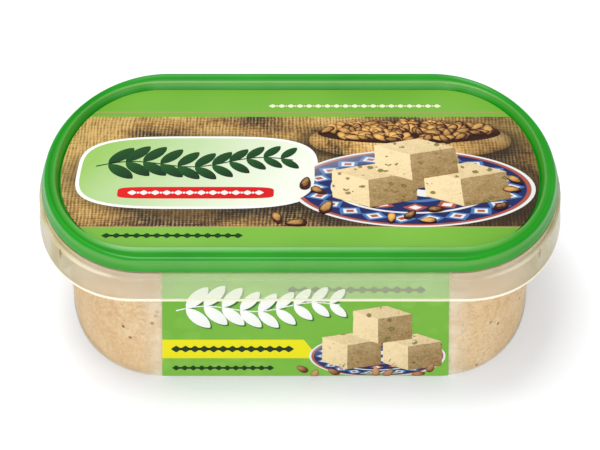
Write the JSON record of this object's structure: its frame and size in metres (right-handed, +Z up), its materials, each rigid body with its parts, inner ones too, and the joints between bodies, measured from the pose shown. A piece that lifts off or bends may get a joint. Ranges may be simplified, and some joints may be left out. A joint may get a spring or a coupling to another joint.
{
  "type": "tub of halva",
  "caption": "Shut oval clear plastic tub filled with halva, with a green press-fit lid, a printed lid panel and a printed label on each long side.",
  "frame": {"origin": "centre of the bounding box's bottom face, on the surface that the tub stands on", "axes": "+X along the tub's length, +Z up through the lid; the shown long side faces -Y"},
  "size_m": [0.144, 0.0946, 0.044],
  "materials": {
    "tub_plastic": "clear, slightly frosted",
    "halva": "matt, crumbly and fibrous",
    "lid_plastic": "satin gloss",
    "lid_print": "printed, satin gloss",
    "label_print": "printed, satin gloss"
  },
  "bodies": {
    "root": {"tub": "tub_plastic", "halva": "halva", "lid": "lid_plastic", "lid_print": "lid_print", "front_label": "label_print", "back_label": "label_print"}
  },
  "joints": []
}
